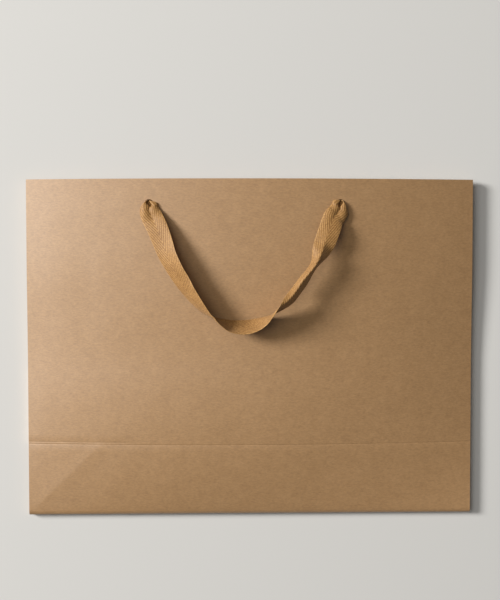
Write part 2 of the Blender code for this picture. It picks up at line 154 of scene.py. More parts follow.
# World light, and the pale backdrop that the camera sees past the floor
WORLD_COLOUR = (1, 0.93, 0.82, 1)
WORLD_STRENGTH = 0.085
BACKDROP_COLOUR = (0.72, 0.71, 0.69, 1)

# Each lamp's direction from the bag, its distance and size in metres, its power in watts, its colour
KEY_LAMP = ((-0.84, 0.30, 0.52), 5, 1.6, 316, (1, 0.985, 0.955))
FILL_LAMP = ((-0.40, 0.20, 0.89), 4, 3, 57, (1, 0.99, 0.97))

# Noise of each finish: scale, detail and roughness
PAPER_CLOUD = (140, 5, 0.65)
PAPER_FIBRES = (1, 3, 0.7)
TAPE_CLOUD = (120, 3, 0.5)
TAPE_THREADS = (1, 2, 0.6)
CARD_SPECKLE = (1, 3, 0.6)

# How the noise is stretched along each axis, and how far the fibres turn in radians
EVEN_STRETCH = (1, 1, 1)
FIBRE_STRETCH = (350, 900, 600)
FIBRE_TURN = 0.1
THREAD_STRETCH = (1000, 1000, 1000)
SPECKLE_STRETCH = (700, 700, 700)

# Colours by the value of their noise: the first ones are the base, the tints multiply it
PAPER_COLOURS = ((0.3, (0.375, 0.203, 0.076)), (0.5, (0.40, 0.22, 0.085)), (0.7, (0.425, 0.237, 0.095)))
FIBRE_TINTS = ((0.3, (0.82, 0.80, 0.78)), (0.5, (1, 1, 1)), (0.72, (1.16, 1.17, 1.2)))
TAPE_COLOURS = ((0.3, (0.403, 0.223, 0.076)), (0.7, (0.49, 0.282, 0.103)))
THREAD_TINTS = ((0.3, (0.68, 0.63, 0.55)), (0.65, (1.2, 1.18, 1.14)))
# Painted shade: the tape's colour is darkened in the grooves between its woven ribs, most where they are
# deepest
PAINTED_GROOVE_SHADE = ((0, (1, 1, 1)), (1, (0.56, 0.47, 0.36)))
CARD_COLOURS = ((0.3, (0.36, 0.28, 0.20)), (0.7, (0.46, 0.37, 0.27)))

# Gloss of each finish, and the strength of its fine bumps
PAPER_ROUGHNESS = 0.56
PAPER_IOR = 2.4
PAPER_BUMP = 0.35
TAPE_ROUGHNESS = 0.6
TAPE_IOR = 1.5
TAPE_SHEEN = 0.1
TAPE_BUMP = 0.5
BUMP_DEPTH = 0.2 * MM
CARD_ROUGHNESS = 0.9

# Floor
FLOOR_COLOUR = (0.655, 0.65, 0.635, 1)
FLOOR_ROUGHNESS = 0.9
FLOOR_GLOSS = 0.1
FLOOR_REACH = 6

# Places of the front handle's middle on the panel, from the left hole to the right one, in mm.
# Each has the slope in degrees of its outer half and inner half, the crease's place across the tape
# in mm, its curl in degrees, and its lift off the panel in mm.
FRONT_STATIONS = (
    (-89.6, 275.2, -45, 45, 0, -210, 0),
    (-88.4, 271.2, -30, 34, 0, -140, 1.6),
    (-86.4, 266.8, -12, 22, 0, -64, 3.0),
    (-81.9, 257.5, 8, 18, 0, -20, 5.0),
    (-77.3, 245.5, 22, 24, 0, 0, 6.0),
    (-73.2, 234.5, 32, 34, 0, 0, 6.5),
    (-66.4, 221.5, 45, 37, 0, 0, 6.5),
    (-60.4, 212.0, 48, 40, 0, -6, 6.0),
    (-54.8, 203.3, 56, 48, 0, -10, 5.5),
    (-46.2, 192.0, 66, 60, 0, -20, 4.5),
    (-38.7, 184.0, 76, 76, 0, -28, 3.0),
    (-32.0, 179.2, 92, 92, 0, -34, 1.5),
    (-25.0, 175.6, 108, 108, 0, -28, 0.5),
    (-18.0, 172.6, 120, 120, 0, -14, 0),
    (-10.0, 171.5, 127, 127, 0, 0, 0),
    (-2.0, 171.9, 127, 127, 0, 0, 0),
    (6.0, 174.3, 120, 120, 0, 0, 0),
    (13.0, 178.0, 107, 107, 0, 10, 1.5),
    (18.5, 182.2, 90, 90, 0, 24, 3.5),
    (24.0, 187.0, 77, 77, 8, 10, 6.0),
    (30.0, 193.0, 72, -10, 6, 0, 8.0),
    (35.2, 198.6, 66, -52, 3, 0, 9.5),
    (40.4, 205.3, 62, -66, 1, 0, 10.5),
    (45.2, 212.0, 60, -70, 1, 0, 11.0),
    (54.6, 226.0, 75, -68, 0, 0, 10.5),
    (60.8, 238.0, 42, -28, 0, 0, 9.5),
    (64.6, 246.5, 10, -18, 0, 0, 8.0),
    (68.9, 257.7, -6, -6, 0, -24, 5.5),
    (72.2, 266.8, -14, 14, 0, -80, 3.2),
    (75.8, 271.2, -32, 32, 0, -140, 1.6),
    (78.4, 275.2, -45, 45, 0, -210, 0),
)

# The same values for the rear handle, which lies under the back panel, pressed flat by the bag
REAR_STATIONS = (
    (-89.8, 274.8, -45, 45, 0, -210, 0),
    (-89.6, 269.8, -30, 30, 0, -140, 0),
    (-88.5, 262.0, -8, 8, 0, -40, 0),
    (-86.0, 245.0, 0, 0, 0, 0, 0),
    (-82.0, 225.0, 0, 0, 0, 0, 0),
    (-74.0, 206.0, 0, 0, 0, 0, 0),
    (-61.0, 190.0, 0, 0, 0, 0, 0),
    (-44.0, 177.5, 0, 0, 0, 0, 0),
    (-25.0, 170.0, 0, 0, 0, 0, 0),
    (-5.4, 167.5, 0, 0, 0, 0, 0),
    (14.2, 170.0, 0, 0, 0, 0, 0),
    (33.2, 177.5, 0, 0, 0, 0, 0),
    (50.2, 190.0, 0, 0, 0, 0, 0),
    (63.2, 206.0, 0, 0, 0, 0, 0),
    (71.2, 225.0, 0, 0, 0, 0, 0),
    (75.2, 245.0, 0, 0, 0, 0, 0),
    (77.7, 262.0, -8, 8, 0, -40, 0),
    (78.8, 269.8, -30, 30, 0, -140, 0),
    (79.0, 274.8, -45, 45, 0, -210, 0),
)

# Weave of the tape, its rounded edges, and how it opens out of its holes
RIB_PITCH = 1.8 * MM
RIB_SLANT = math.radians(21)
RIB_DEPTH = 0.16 * MM
SELVEDGE = 0.9 * MM
EDGE_SQUARENESS = 16
EDGE_LEAST = 0.12
PASSAGE_SHARES = (0, 0.25, 0.5, 0.75)
SECTION_POINTS = 61
TAPE_STEP = 0.6 * MM
CREASE_HALF_WIDTH = 0.9 * MM
FUNNEL_STEPS = 24
THROAT_PINCH = 1.3
THROAT_SLANTS = (math.radians(42), math.radians(-31))
MIRROR_X = -32 * MM
RIM_RISE = 1.5 * MM
EDGE_RISE = 2.5 * MM
RIM_REACH = 0.7 * MM
EDGE_REACH = 6 * MM
SEAT_SMOOTHING = 6

# Fine mesh of the knots and tails, and the angle in degrees above which an edge looks sharp
KNOT_MERIDIANS = 64
KNOT_PARALLELS = 28
TAIL_ROUNDING = 0.3 * MM
SHARP_DEGREES = 35
TAPE_SHARP_DEGREES = 60


def ease(share):
    share = min(max(share, 0), 1)
    return share * share * (3 - 2 * share)


def bump_at(distance, half):
    """A smooth hump: 1 in its middle and 0 at its edges."""
    return ease(1 - abs(distance) / half)


def bottom_pinch(y):
    """Share of the full thickness that is left near the rounded bottom fold."""
    if y >= BOTTOM_ROUND:
        return 1
    return FOLD_FLATNESS + (1 - FOLD_FLATNESS) * math.sqrt(1 - (1 - y / BOTTOM_ROUND) ** 2)


def mouth_lift(y):
    """How far the bag is held off the floor by the rolled rear handle."""
    return MOUTH_LIFT * ease((y - GUSSET_DEPTH) / (HOLE_Y - GUSSET_DEPTH - HEM_DEPTH))


def puff(x, y):
    """How far the front panel bulges away from the folded layers under it."""
    across = 1 - (x / HALF_WIDTH) ** 2
    along = 1 - (1 - min(y / GUSSET_DEPTH, 1)) ** 2
    return PUFF * max(across, 0) * along


def waves_at(x, y, pattern):
    across, along, noise_slice = pattern
    return noise.noise(Vector((x * across, y * along, noise_slice)))


def panel_relief(x, y):
    """Creases and soft unevenness of the front panel."""
    edge = min(HALF_WIDTH - abs(x), HEIGHT - y, y)
    wave = waves_at(x, y, BROAD_WAVES) + SMALL_WAVE_SHARE * waves_at(x, y, SMALL_WAVES)
    relief = WAVE_DEPTH * wave * ease(edge / WAVE_INSET)
    from_crease = y - BASE_FOLD
    relief -= CREASE_DEPTH * bump_at(from_crease, CREASE_HALF)
    left_share = ease((SECOND_CREASE_END - x) / SECOND_CREASE_FADE)
    relief -= CREASE_DEPTH * left_share * bump_at(from_crease - SECOND_CREASE, CREASE_HALF)
    side = x + HALF_WIDTH
    across_fold = (side - y) / math.sqrt(2) + DIAGONAL_WANDER * waves_at(x, y, WANDER_WAVES)
    along_fold = ease((side + y) / DIAGONAL_START_FADE) * ease((DIAGONAL_END - side - y) / DIAGONAL_END_FADE)
    relief += DIAGONAL_RIDGE * bump_at(across_fold, DIAGONAL_HALF) * along_fold
    return relief


def height_of(level, x, y):
    middle = LEVELS[-1] / 2
    z = middle + (LEVELS[level] - middle) * bottom_pinch(y) + mouth_lift(y)
    if level >= INDEX["front_hem"]:
        z += puff(x, y)
    if level >= INDEX["front"]:
        z += panel_relief(x, y)
    return z


def top_of(layer, x, y):
    return height_of(INDEX[layer] + 1, x, y)


def underside_of(layer, x, y):
    return height_of(INDEX[layer], x, y)


def span(first, last):
    return set(range(INDEX[first], INDEX[last] + 1))


def body_layers(x, y):
    """Layers that hold paper at one point of the flat-folded bag."""
    side = HALF_WIDTH - abs(x)
    hem_side = PAPER + PLY_GAP
    inner_fold = BASE_FOLD + PLY_GAP
    slant = PAPER * math.sqrt(2)
    found = span("front", "front")
    if y < PAPER:
        found |= span("base", "front")
    if y < GUSSET_DEPTH:
        found |= span("base", "base")
        if y > inner_fold:
            found |= span("back_lower", "back_lower")
        if y > GUSSET_DEPTH - PAPER:
            found |= span("base", "back_lower")
    if y > inner_fold:
        found |= span("back", "back")
        if y < inner_fold + PAPER:
            found |= span("back_lower", "back")
    if side < PLEAT:
        found |= gusset_layers(side, y, slant)
    if y > HEIGHT - HEM_DEPTH:
        found |= hem_layers(side, y, hem_side)
    return found


def gusset_layers(side, y, slant):
    found = set()
    far_edge = GUSSET_DEPTH - side
    wrap = BASE_FOLD - PAPER
    if y > side:
        found |= span("gusset_front", "gusset_front")
        if y < far_edge:
            found |= span("tuck_lower", "tuck_lower")
        if y < side + slant and y < BASE_FOLD:
            found |= span("tuck_lower", "gusset_front")
    if wrap < y < far_edge:
        found |= span("tuck_upper", "tuck_upper")
        if y > far_edge - slant and y > BASE_FOLD:
            found |= span("tuck_lower", "tuck_upper")
    if y > wrap:
        found |= span("gusset_back", "gusset_back")
        if y < BASE_FOLD:
            found |= span("tuck_upper", "gusset_back")
        if side > PLEAT - PAPER:
            found |= span("gusset_back", "gusset_front")
    if side < PAPER:
        found |= side_fold_layers(y, wrap)
    return found


def side_fold_layers(y, wrap):
    found = span("gusset_front", "front")
    if y < GUSSET_DEPTH:
        found |= span("base", "tuck_lower")
        if y > wrap:
            found |= span("tuck_upper", "back_lower")
    if y > wrap:
        found |= span("back", "gusset_back")
        if y < BASE_FOLD + PLY_GAP + PAPER:
            found |= span("tuck_upper", "gusset_back")
    return found


def hem_layers(side, y, hem_side):
    found = set()
    hem_pleat = PLEAT + PLY_GAP
    turned = y > HEIGHT - PAPER
    if side > hem_side:
        found |= span("back_hem", "back_hem") | span("front_hem", "front_hem")
        if side < hem_pleat + PAPER:
            found |= span("gusset_back_hem", "gusset_back_hem")
            found |= span("gusset_front_hem", "gusset_front_hem")
        if side < hem_side + PAPER:
            found |= span("back_hem", "gusset_back_hem") | span("gusset_front_hem", "front_hem")
        if hem_pleat < side < hem_pleat + PAPER:
            found |= span("gusset_back_hem", "gusset_front_hem")
    if turned:
        found |= span("back", "back_hem") | span("front_hem", "front")
        if side < PLEAT:
            found |= span("gusset_back_hem", "gusset_back") | span("gusset_front", "gusset_front_hem")
        if side < hem_side + PAPER:
            found |= span("back", "gusset_back") | span("gusset_front", "front")
        if PLEAT - PAPER < side < hem_pleat + PAPER:
            found |= span("gusset_back_hem", "gusset_front_hem")
    return found


def cut_plan(plan, point, across, keep):
    """Cut the faces of the plan whose middles pass the test, along one straight line."""
    faces = [face for face in plan.faces if keep(face.calc_center_median())]
    edges = {edge for face in faces for edge in face.edges}
    corners = {corner for face in faces for corner in face.verts}
    bmesh.ops.bisect_plane(
        plan,
        geom=list(corners) + list(edges) + faces,
        dist=SAME_PLACE,
        plane_co=point,
        plane_no=across,
    )


def even_lines(start, end, step):
    count = max(1, round((end - start) / step))
    return [start + (end - start) * index / count for index in range(1, count)]


def body_plan():
    """The bag seen from above, divided at every fold and edge of the paper, and finely between."""
    plan = bmesh.new()
    corners = ((-1, 0), (1, 0), (1, 1), (-1, 1))
    plan.faces.new([plan.verts.new((x * HALF_WIDTH, y * HEIGHT, 0)) for x, y in corners])
    hem_line = HEIGHT - HEM_DEPTH
    rows = [BOTTOM_ROUND * share for share in BOTTOM_ROW_SHARES]
    rows += [PAPER, BASE_FOLD - PAPER, BASE_FOLD, BASE_FOLD + PLY_GAP, BASE_FOLD + PLY_GAP + PAPER]
    crease_rows = (BASE_FOLD - CREASE_HALF, BASE_FOLD + SECOND_CREASE + CREASE_HALF)
    rows += [crease_rows[0], *even_lines(*crease_rows, CREASE_ROW_STEP), crease_rows[1]]
    rows += [GUSSET_DEPTH - PAPER, GUSSET_DEPTH, hem_line, HEIGHT - PAPER]
    rows += even_lines(BOTTOM_ROUND, crease_rows[0], ROW_STEP)
    rows += even_lines(crease_rows[1], GUSSET_DEPTH, ROW_STEP)
    rows += even_lines(GUSSET_DEPTH, hem_line, ROW_STEP)
    rows += even_lines(hem_line, HEIGHT, ROW_STEP)
    for y in sorted(set(rows)):
        cut_plan(plan, (0, y, 0), (0, 1, 0), lambda middle: True)
    for x in even_lines(-HALF_WIDTH, HALF_WIDTH, COLUMN_STEP):
        cut_plan(plan, (x, 0, 0), (1, 0, 0), lambda middle: True)
    hem_side = PAPER + PLY_GAP
    hem_pleat = PLEAT + PLY_GAP
    for sign in (-1, 1):
        for side in (PAPER, PLEAT - PAPER, PLEAT):
            cut_plan(plan, (sign * (HALF_WIDTH - side), 0, 0), (1, 0, 0), lambda middle: True)
        for side in (hem_side, hem_side + PAPER, hem_pleat, hem_pleat + PAPER):
            cut_plan(plan, (sign * (HALF_WIDTH - side), 0, 0), (1, 0, 0), lambda middle: middle.y > hem_line)
        cut_diagonals(plan, sign)
    return plan


def cut_diagonals(plan, sign):
    """The slanted folds of the block bottom, each with a second line one paper thickness inside."""
    slant = PAPER * math.sqrt(2)
    corner_x = sign * HALF_WIDTH
    edge_of_pleat = HALF_WIDTH - PLEAT

    def in_lower(middle):
        return middle.x * sign > edge_of_pleat and middle.y < BASE_FOLD

    def in_upper(middle):
        return middle.x * sign > edge_of_pleat and BASE_FOLD < middle.y < GUSSET_DEPTH

    for offset in (0, slant):
        cut_plan(plan, (corner_x, offset, 0), (sign, 1, 0), in_lower)
        cut_plan(plan, (corner_x, GUSSET_DEPTH - offset, 0), (-sign, 1, 0), in_upper)


def stack_body(plan):
    """Raise the plan into plies: solid where a layer holds paper, with walls where it ends."""
    body = bmesh.new()
    layers = {face: body_layers(*face.calc_center_median().xy) for face in plan.faces}
    made = {}

    def vertex(corner, level):
        key = (corner.index, level)
        if key not in made:
            x, y = corner.co.xy
            made[key] = body.verts.new((x, y - HEIGHT / 2, height_of(level, x, y)))
        return made[key]

    for face, solid in layers.items():
        for level in range(len(LAYERS) + 1):
            above = level in solid
            below = level - 1 in solid
            if above != below:
                ring = [vertex(corner, level) for corner in face.verts]
                body.faces.new(ring[::-1] if above else ring)
    for edge in plan.edges:
        first, second = edge.verts
        sides = [layers[face] for face in edge.link_faces]
        if len(sides) == 1:
            sides.append(set())
        for layer in sides[0] ^ sides[1]:
            lower = [vertex(first, layer), vertex(second, layer)]
            upper = [vertex(second, layer + 1), vertex(first, layer + 1)]
            body.faces.new(lower + upper)
    return body


def make_object(name, source, finish, sharp_degrees=SHARP_DEGREES):
    """Turn a bmesh into a named object with one material, smooth except at its sharp edges."""
    bmesh.ops.recalc_face_normals(source, faces=source.faces)
    mesh = bpy.data.meshes.new(name)
    source.to_mesh(mesh)
    source.free()
    mesh.materials.append(finish)
    mesh.shade_smooth()
    mesh.set_sharp_from_angle(angle=math.radians(sharp_degrees))
    made = bpy.data.objects.new(name, mesh)
    bpy.context.collection.objects.link(made)
    return made


def apply_modifiers(made):
    """Freeze an object's modifiers into its mesh."""
    evaluated = made.evaluated_get(bpy.context.evaluated_depsgraph_get())
    mesh = bpy.data.meshes.new_from_object(evaluated)
    made.modifiers.clear()
    old = made.data
    made.data = mesh
    bpy.data.meshes.remove(old)


def hole_cutter(x, low, high):
    cutter = bmesh.new()
    bmesh.ops.create_cone(
        cutter,
        cap_ends=True,
        segments=HOLE_SIDES,
        radius1=HOLE_RADIUS,
        radius2=HOLE_RADIUS,
        depth=high - low,
    )
    bmesh.ops.translate(cutter, verts=cutter.verts, vec=(x, HOLE_Y - HEIGHT / 2, (low + high) / 2))
    mesh = bpy.data.meshes.new("hole")
    cutter.to_mesh(mesh)
    cutter.free()
    made = bpy.data.objects.new("hole", mesh)
    bpy.context.collection.objects.link(made)
    return made


def punch_holes(body):
    """Cut the four handle holes through their two plies of paper each."""
    cutters = []
    for x in HOLES:
        for lower, upper in (("front_hem", "front"), ("back", "back_hem")):
            low = underside_of(lower, x, HOLE_Y) - PUNCH_REACH
            high = top_of(upper, x, HOLE_Y) + PUNCH_REACH
            cutters.append(hole_cutter(x, low, high))
    for cutter in cutters:
        modifier = body.modifiers.new("punched", "BOOLEAN")
        modifier.operation = "DIFFERENCE"
        modifier.solver = "EXACT"
        modifier.object = cutter
    bpy.context.view_layer.update()
    apply_modifiers(body)
    for cutter in cutters:
        bpy.data.objects.remove(cutter, do_unlink=True)


def smooth_stations(stations, step):
    """Catmull-Rom points through the chosen stations, all values alike, evenly spaced."""
    padded = [stations[0], *stations, stations[-1]]
    points = []
    for index in range(len(stations) - 1):
        before, start, end, after = padded[index:index + 4]
        length = math.dist(start[:2], end[:2]) * MM
        count = max(2, math.ceil(length / step))
        for part in range(count):
            share = part / count
            points.append([blend_four(values, share) for values in zip(before, start, end, after)])
    points.append(list(stations[-1]))
    return points


def blend_four(values, share):
    before, start, end, after = values
    first = end - before
    second = 2 * before - 5 * start + 4 * end - after
    third = 3 * (start - end) + after - before
    return start + 0.5 * share * (first + share * (second + share * third))


def slope_at(place, outer, inner, crease, curl):
    """Slope across the tape at one place, which changes over at the crease."""
    share = min(max((place - crease) / (2 * CREASE_HALF_WIDTH) + 0.5, 0), 1)
    return outer + (inner - outer) * share + curl * place / TAPE_WIDTH


def middle_line(outer, inner, crease, curl):
    """Across and up at even places over the tape's width, from its middle."""
    step = TAPE_WIDTH / (SECTION_POINTS - 1)
    line = [(0, 0)]
    for index in range(SECTION_POINTS - 1):
        slope = slope_at((index + 0.5) * step - TAPE_WIDTH / 2, outer, inner, crease, curl)
        across, up = line[-1]
        line.append((across + math.cos(slope) * step, up + math.sin(slope) * step))
    centre = line[SECTION_POINTS // 2]
    return [(across - centre[0], up - centre[1]) for across, up in line]


def outside_sections(stations, seat, up_sign):
    """The tape's middle surface outside the bag, each section laid on what is under it."""
    points = smooth_stations(stations, TAPE_STEP)
    flat_sections = []
    seats = []
    for index, (x, y, outer, inner, crease, curl, lift) in enumerate(points):
        before = points[max(index - 1, 0)]
        after = points[min(index + 1, len(points) - 1)]
        along = Vector((after[0] - before[0], after[1] - before[1], 0)).normalized()
        inward = Vector((-along.y, along.x, 0))
        line = middle_line(math.radians(outer), math.radians(inner), crease * MM, math.radians(curl))
        centre = (min(across for across, _ in line) + max(across for across, _ in line)) / 2
        place = Vector((x * MM, y * MM, 0))
        flat = [place + inward * (across - centre) + Vector((0, 0, up * up_sign)) for across, up in line]
        flat_sections.append(flat)
        seats.append(seat(flat) + lift * MM)
    seats = [max(pair) for pair in zip(smoothed(seats, SEAT_SMOOTHING), seats)]
    return [[point + Vector((0, 0, up)) for point in flat] for flat, up in zip(flat_sections, seats)]


def smoothed(values, reach):
    """Running average, over a shorter stretch near both ends."""
    result = []
    for index in range(len(values)):
        near_end = min(index, len(values) - 1 - index, reach)
        window = values[index - near_end:index + near_end + 1]
        result.append(sum(window) / len(window))
    return result


def seat_on_panel(flat):
    """Height that lays a section on the front panel."""
    return max(top_of("front", point.x, point.y) - point.z for point in flat) + CLEARANCE + TAPE / 2


def seat_under_panel(flat):
    """Height that lays a section on the floor."""
    return TAPE / 2 - min(point.z for point in flat)


def rolled_section(x, z):
    """The tape rolled up inside its hole, at one height."""
    turns = [(index / (SECTION_POINTS - 1) - 0.5) * ROLL_ANGLE for index in range(SECTION_POINTS)]
    return [
        Vector((x + ROLL_RADIUS * math.sin(turn), HOLE_Y - ROLL_RADIUS * math.cos(turn), z))
        for turn in turns
    ]


def funnel_sections(x, slant, rolled, laid, up_sign):
    """The tape opening out of its hole: each thread closes in on a slanted slot, then turns away."""
    across_slot = Vector((math.cos(slant), math.sin(slant), 0))
    threads = []
    for index, (start, end) in enumerate(zip(rolled, laid)):
        edge = abs(2 * index / (SECTION_POINTS - 1) - 1)
        from_slot = across_slot * (start - Vector((x, HOLE_Y, start.z))).dot(across_slot)
        first = start - from_slot * THROAT_PINCH + Vector((0, 0, up_sign * (RIM_RISE + EDGE_RISE * edge)))
        second = end + Vector((0, RIM_REACH + EDGE_REACH * edge ** 2, 0))
        threads.append(interpolate_bezier(start, first, second, end, FUNNEL_STEPS + 1)[:-1])
    return [list(section) for section in zip(*threads)]


def thread_lengths(sections, laid):
    """Distance along each thread of the tape from the twist where its chevrons turn round.

    All threads keep pace where the tape is laid, and each counts its own way through a funnel.
    """
    middle = SECTION_POINTS // 2
    turn = min(laid, key=lambda index: abs(sections[index][middle].x - MIRROR_X))
    lengths = [None] * len(sections)
    lengths[turn] = [0] * SECTION_POINTS
    for step, stop in ((1, len(sections)), (-1, -1)):
        for index in range(turn + step, stop, step):
            before, after = sections[index - step], sections[index]
            added = [(end - start).length for start, end in zip(before, after)]
            if index in laid:
                added = [added[middle]] * SECTION_POINTS
            lengths[index] = [length + more for length, more in zip(lengths[index - step], added)]
    return lengths


def rib_height(outward, place):
    """Herringbone weave from 0 to 1: slanted ribs that meet in chevrons, and a firm selvedge."""
    side = abs(place)
    phase = (side * math.cos(RIB_SLANT) - outward * math.sin(RIB_SLANT)) / RIB_PITCH
    rib = 0.5 - 0.5 * math.cos(2 * math.pi * phase)
    edge = TAPE_WIDTH / 2 - side
    return rib + (1 - rib) * (1 - ease(edge / SELVEDGE))


def thicken(sections, laid):
    """Closed mesh of the tape: both woven faces of its middle surface, and how deep each point lies in the
    weave, which weights the painted shade in the grooves.
    """
    tape = bmesh.new()
    groove_shade_weight = tape.verts.layers.float.new("groove_shade_weight")
    lengths = thread_lengths(sections, laid)
    places = [(index / (SECTION_POINTS - 1) - 0.5) * TAPE_WIDTH for index in range(SECTION_POINTS)]
    rings = []
    for index, section in enumerate(sections):
        before = sections[max(index - 1, 0)]
        after = sections[min(index + 1, len(sections) - 1)]
        faces = ([], [])
        for spot, point in enumerate(section):
            across = section[min(spot + 1, SECTION_POINTS - 1)] - section[max(spot - 1, 0)]
            normal = (after[spot] - before[spot]).cross(across).normalized()
            rib = rib_height(lengths[index][spot], places[spot])
            edge_share = abs(places[spot]) / (TAPE_WIDTH / 2)
            rounding = math.sqrt(max(1 - edge_share ** EDGE_SQUARENESS, EDGE_LEAST))
            half = TAPE / 2 * rounding - RIB_DEPTH * (1 - rib)
            for face, sign in zip(faces, (1, -1)):
                corner = tape.verts.new(point + normal * half * sign - Vector((0, HEIGHT / 2, 0)))
                # depth in the weave, which sets how much painted shade darkens this point
                corner[groove_shade_weight] = 1 - rib
                face.append(corner)
        rings.append(faces[0] + faces[1][::-1])
    join_rings(tape, rings)
    return tape


def join_rings(target, rings):
    """Bridge rings of corners one after another and cap both ends."""
    count = len(rings[0])
    for first, second in zip(rings, rings[1:]):
        for corner in range(count):
            following = (corner + 1) % count
            target.faces.new((first[corner], first[following], second[following], second[corner]))
    target.faces.new(rings[0][::-1])
    target.faces.new(rings[-1])


def knot(x, z):
    """A lump for the squashed knot, with the tape's turns as slanted ridges."""
    lump = bmesh.new()
    bmesh.ops.create_uvsphere(lump, u_segments=KNOT_MERIDIANS, v_segments=KNOT_PARALLELS, radius=0.5)
    for corner in lump.verts:
        turn = math.atan2(corner.co.y, corner.co.x)
        ridge = 1 + KNOT_RIDGE * math.cos(KNOT_RIDGES * turn + KNOT_TWIST * corner.co.z)
        corner.co.x *= ridge * KNOT_LENGTH
        corner.co.y *= ridge * KNOT_WIDTH
        corner.co.z *= KNOT_THICKNESS
        corner.co += Vector((x, HOLE_Y - HEIGHT / 2, z))
    return lump


def tail(x, z):
    strip = bmesh.new()
    bmesh.ops.create_cube(strip, size=1)
    length = TAIL_LENGTH + KNOT_WIDTH / 2
    size = (TAPE_WIDTH * TAIL_NARROWING, length, TAPE * TAIL_PLIES)
    bmesh.ops.scale(strip, verts=strip.verts, vec=size)
    bmesh.ops.translate(strip, verts=strip.verts, vec=(x, HOLE_Y - HEIGHT / 2 - length / 2, z))
    bmesh.ops.bevel(strip, geom=strip.edges[:], offset=TAIL_ROUNDING, segments=2, affect="EDGES")
    return strip


def handle(name, stations, panel, hem, seat, up_sign, finish):
    """One length of tape outside and through the holes, with a knot piece and tail at each end."""
    pieces = []
    ends = []
    middle = outside_sections(stations, seat, up_sign)
    for side, x, slant, laid in zip(("left", "right"), HOLES, THROAT_SLANTS, (middle[0], middle[-1][::-1])):
        if up_sign > 0:
            rim_z = top_of(panel, x, HOLE_Y)
            hem_z = underside_of(hem, x, HOLE_Y)
        else:
            rim_z = underside_of(panel, x, HOLE_Y)
            hem_z = top_of(hem, x, HOLE_Y)
        knot_z = hem_z - up_sign * (CLEARANCE + KNOT_THICKNESS / 2)
        inside = [rolled_section(x, knot_z + (rim_z - knot_z) * share) for share in PASSAGE_SHARES]
        ends.append(inside + funnel_sections(x, slant, rolled_section(x, rim_z), laid, up_sign))
        pieces.append(make_object(f"{name}_knot_{side}", knot(x, knot_z), finish))
        pieces.append(make_object(f"{name}_tail_{side}", tail(x, knot_z), finish))
    last = [section[::-1] for section in ends[1][::-1]]
    laid = range(len(ends[0]), len(ends[0]) + len(middle))
    sections = ends[0] + middle + last
    made = make_object(name + "_tape", thicken(sections, laid), finish, TAPE_SHARP_DEGREES)
    return made, pieces, middle_length(sections)


def middle_length(sections):
    """Length of the tape along its middle thread, without what is tied up in its knots."""
    middle = [section[SECTION_POINTS // 2] for section in sections]
    return sum((end - start).length for start, end in zip(middle, middle[1:]))


def node_tree(name):
    made = bpy.data.materials.new(name)
    made.use_nodes = True
    return made, made.node_tree.nodes, made.node_tree.links, made.node_tree.nodes["Principled BSDF"]


def noise_node(nodes, links, place, scale, detail, roughness):
    made = nodes.new("ShaderNodeTexNoise")
    made.inputs["Scale"].default_value = scale
    made.inputs["Detail"].default_value = detail
    made.inputs["Roughness"].default_value = roughness
    links.new(place, made.inputs["Vector"])
    return made


def mapping_node(nodes, links, scale, turn=0):
    place = nodes.new("ShaderNodeTexCoord")
    made = nodes.new("ShaderNodeMapping")
    made.inputs["Scale"].default_value = scale
    made.inputs["Rotation"].default_value = (0, 0, turn)
    links.new(place.outputs["Object"], made.inputs["Vector"])
    return made.outputs["Vector"]


def colour_ramp(nodes, links, value, stops):
    made = nodes.new("ShaderNodeValToRGB")
    first, last = made.color_ramp.elements
    first.position, last.position = stops[0][0], stops[-1][0]
    first.color, last.color = (*stops[0][1], 1), (*stops[-1][1], 1)
    for place, colour in stops[1:-1]:
        made.color_ramp.elements.new(place).color = (*colour, 1)
    links.new(value, made.inputs["Fac"])
    return made.outputs["Color"]


def multiply_colours(nodes, links, first, second):
    made = nodes.new("ShaderNodeMix")
    made.data_type = "RGBA"
    made.blend_type = "MULTIPLY"
    made.inputs["Factor"].default_value = 1
    links.new(first, made.inputs["A"])
    links.new(second, made.inputs["B"])
    return made.outputs["Result"]


def add_bumps(nodes, links, shader, height, strength):
    bump = nodes.new("ShaderNodeBump")
    bump.inputs["Strength"].default_value = strength
    bump.inputs["Distance"].default_value = BUMP_DEPTH
    links.new(height, bump.inputs["Height"])
    links.new(bump.outputs["Normal"], shader.inputs["Normal"])


def kraft_paper():
    """Brown kraft paper: a cloudy base, short fibres lying slightly across, and a fine tooth."""
    made, nodes, links, shader = node_tree("kraft_paper_finish")
    cloud = noise_node(nodes, links, mapping_node(nodes, links, EVEN_STRETCH), *PAPER_CLOUD)
    base = colour_ramp(nodes, links, cloud.outputs["Fac"], PAPER_COLOURS)
    fibre_place = mapping_node(nodes, links, FIBRE_STRETCH, FIBRE_TURN)
    fibres = noise_node(nodes, links, fibre_place, *PAPER_FIBRES)
    tint = colour_ramp(nodes, links, fibres.outputs["Fac"], FIBRE_TINTS)
    links.new(multiply_colours(nodes, links, base, tint), shader.inputs["Base Color"])
    shader.inputs["Roughness"].default_value = PAPER_ROUGHNESS
    shader.inputs["IOR"].default_value = PAPER_IOR
    add_bumps(nodes, links, shader, fibres.outputs["Fac"], PAPER_BUMP)
    return made


